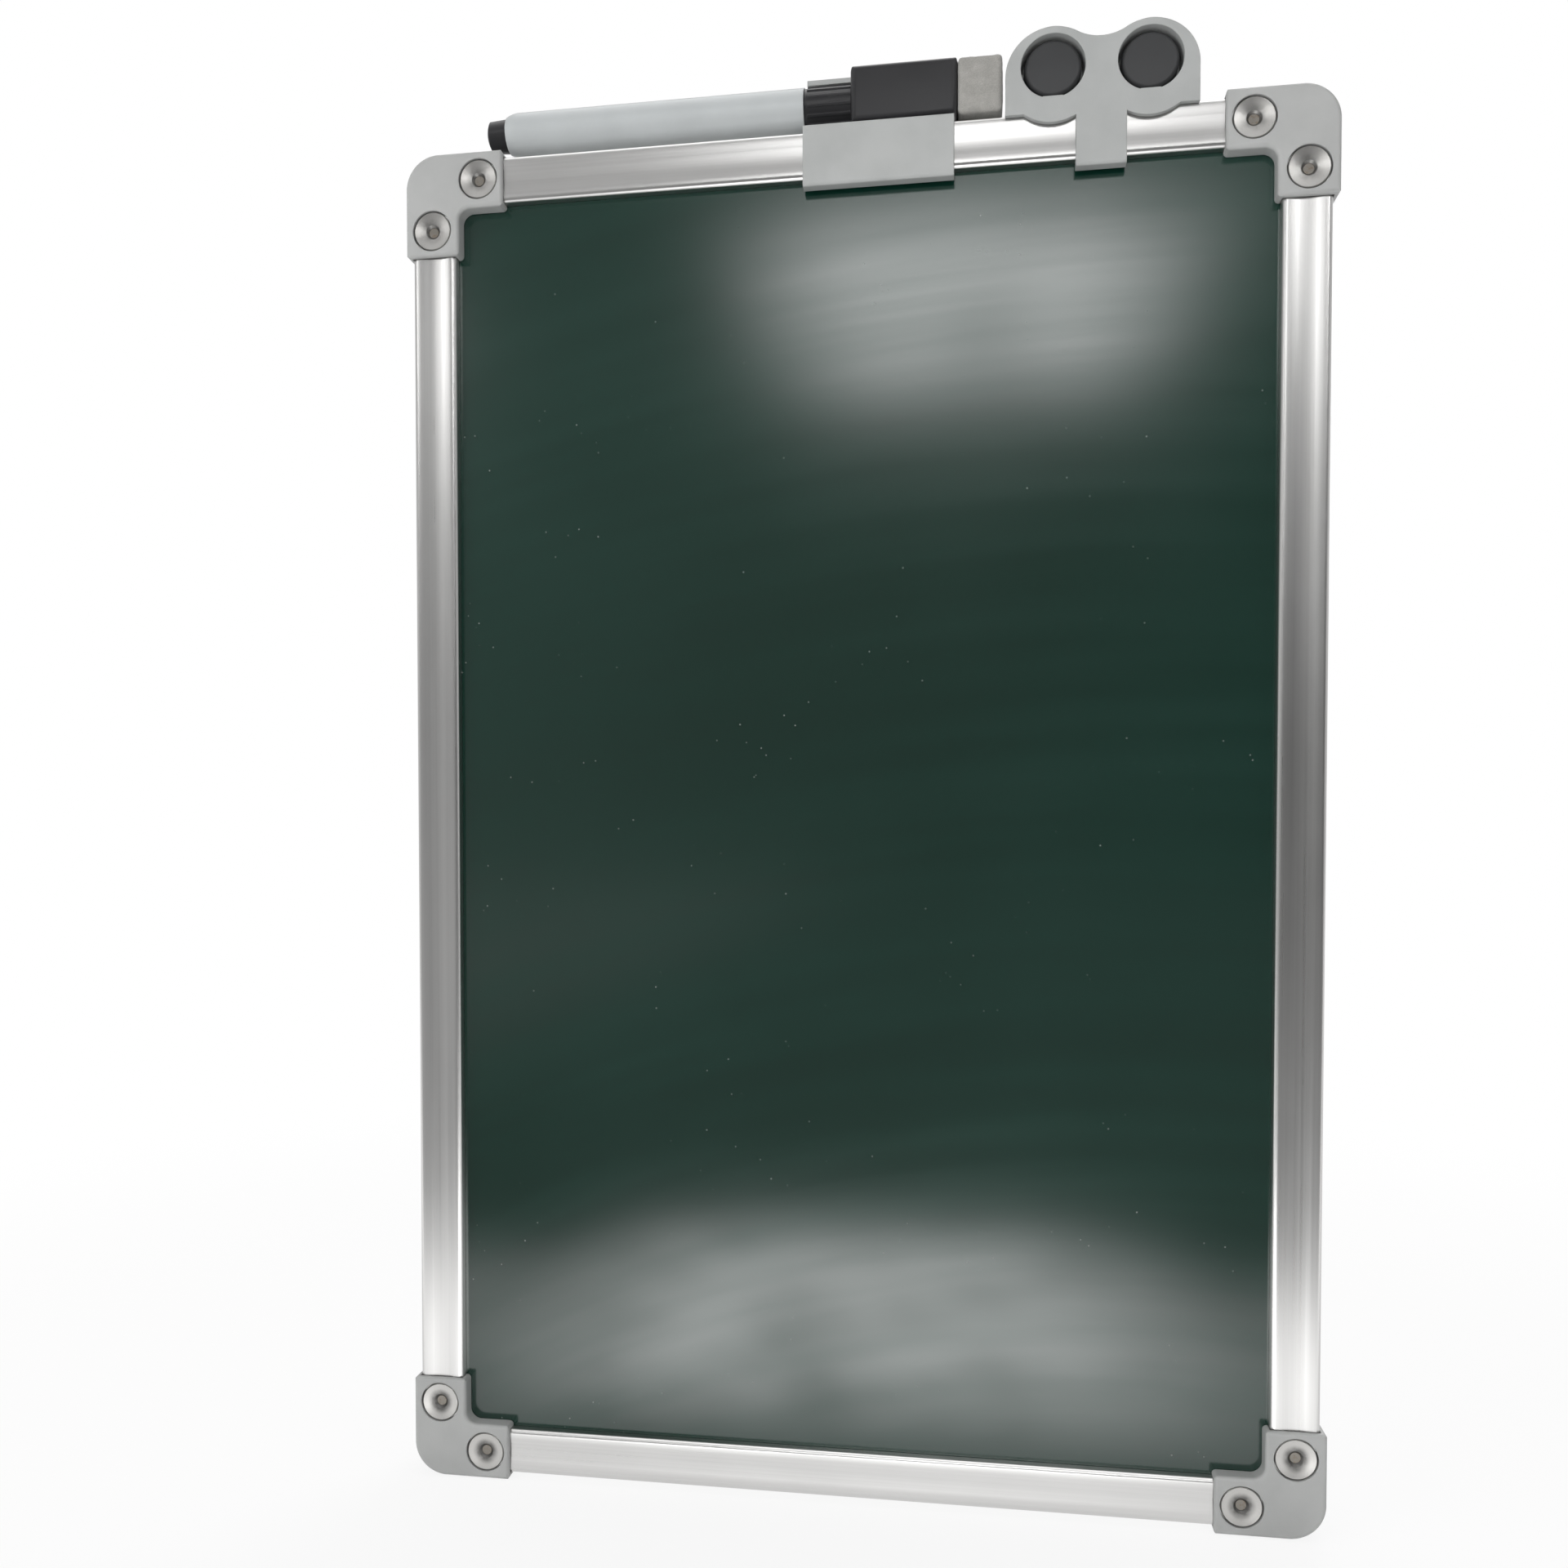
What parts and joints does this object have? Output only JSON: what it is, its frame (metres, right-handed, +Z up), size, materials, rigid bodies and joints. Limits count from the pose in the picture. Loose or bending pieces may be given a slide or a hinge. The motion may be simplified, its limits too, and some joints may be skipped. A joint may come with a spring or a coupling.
{
  "type": "writing board",
  "caption": "Small portrait writing board with a green face, aluminium rails and grey riveted corners, a clip-on marker with an eraser cap and a holder for round magnets on its top rail.",
  "frame": {"origin": "under the middle of the board, level with the lowest edge of the lower corner pieces", "axes": "+Z up along the long side, +X to the right seen from the front, the green face looks along -Y"},
  "size_m": [0.2, 0.0144, 0.3156],
  "materials": {
    "green_face": "dark green coated steel, semi-gloss",
    "white_face": "white dry-erase coated steel, gloss",
    "core": "plain board core",
    "rail": "satin anodised extrusion",
    "corner": "light grey moulded plastic",
    "rivet": "bright rivet",
    "mandrel": "broken rivet pin",
    "clip": "light grey moulded plastic",
    "barrel": "pale grey moulded barrel",
    "black_plastic": "black moulded plastic",
    "ink_fibre": "wrapped ink fibre",
    "nib": "inked fibre nib",
    "seal": "soft cap liner",
    "felt": "pressed felt",
    "magnet_shell": "black button shell",
    "ferrite": "ferrite disc"
  },
  "bodies": {
    "board": {"green_face_sheet": "green_face", "core_panel": "core", "white_back_sheet": "white_face", "top_rail": "rail", "bottom_rail": "rail", "left_rail": "rail", "right_rail": "rail", "corner_top_left": "corner", "corner_top_right": "corner", "corner_bottom_left": "corner", "corner_bottom_right": "corner", "corner_rivets": "rivet", "rivet_mandrels": "mandrel"},
    "clip": {"marker_clip": "clip"},
    "eraser_cap": {"marker_cap": "black_plastic", "cap_seal": "seal", "eraser_felt": "felt"},
    "marker": {"marker_barrel": "barrel", "marker_end_plug": "black_plastic", "marker_reservoir": "ink_fibre", "marker_nose": "black_plastic", "marker_nib": "nib"},
    "holder": {"magnet_holder": "clip"},
    "magnet_left": {"magnet_left_shell": "magnet_shell", "magnet_left_disc": "ferrite"},
    "magnet_right": {"magnet_right_shell": "magnet_shell", "magnet_right_disc": "ferrite"}
  },
  "joints": [
    {"name": "clip_slide", "type": "slide", "parent": "board", "child": "clip", "axis": [1, 0, 0], "range_m": [-0.066, 0]},
    {"name": "marker_out", "type": "slide", "parent": "clip", "child": "eraser_cap", "axis": [0, -1, 0], "range_m": [0, 0.03]},
    {"name": "cap_off", "type": "slide", "parent": "eraser_cap", "child": "marker", "axis": [-1, 0, 0], "range_m": [0, 0.03]},
    {"name": "holder_slide", "type": "slide", "parent": "board", "child": "holder", "axis": [1, 0, 0], "range_m": [0, 0.0046]},
    {"name": "magnet_left_out", "type": "slide", "parent": "holder", "child": "magnet_left", "axis": [0, -1, 0], "range_m": [0, 0.02]},
    {"name": "magnet_right_out", "type": "slide", "parent": "holder", "child": "magnet_right", "axis": [0, -1, 0], "range_m": [0, 0.02]}
  ]
}
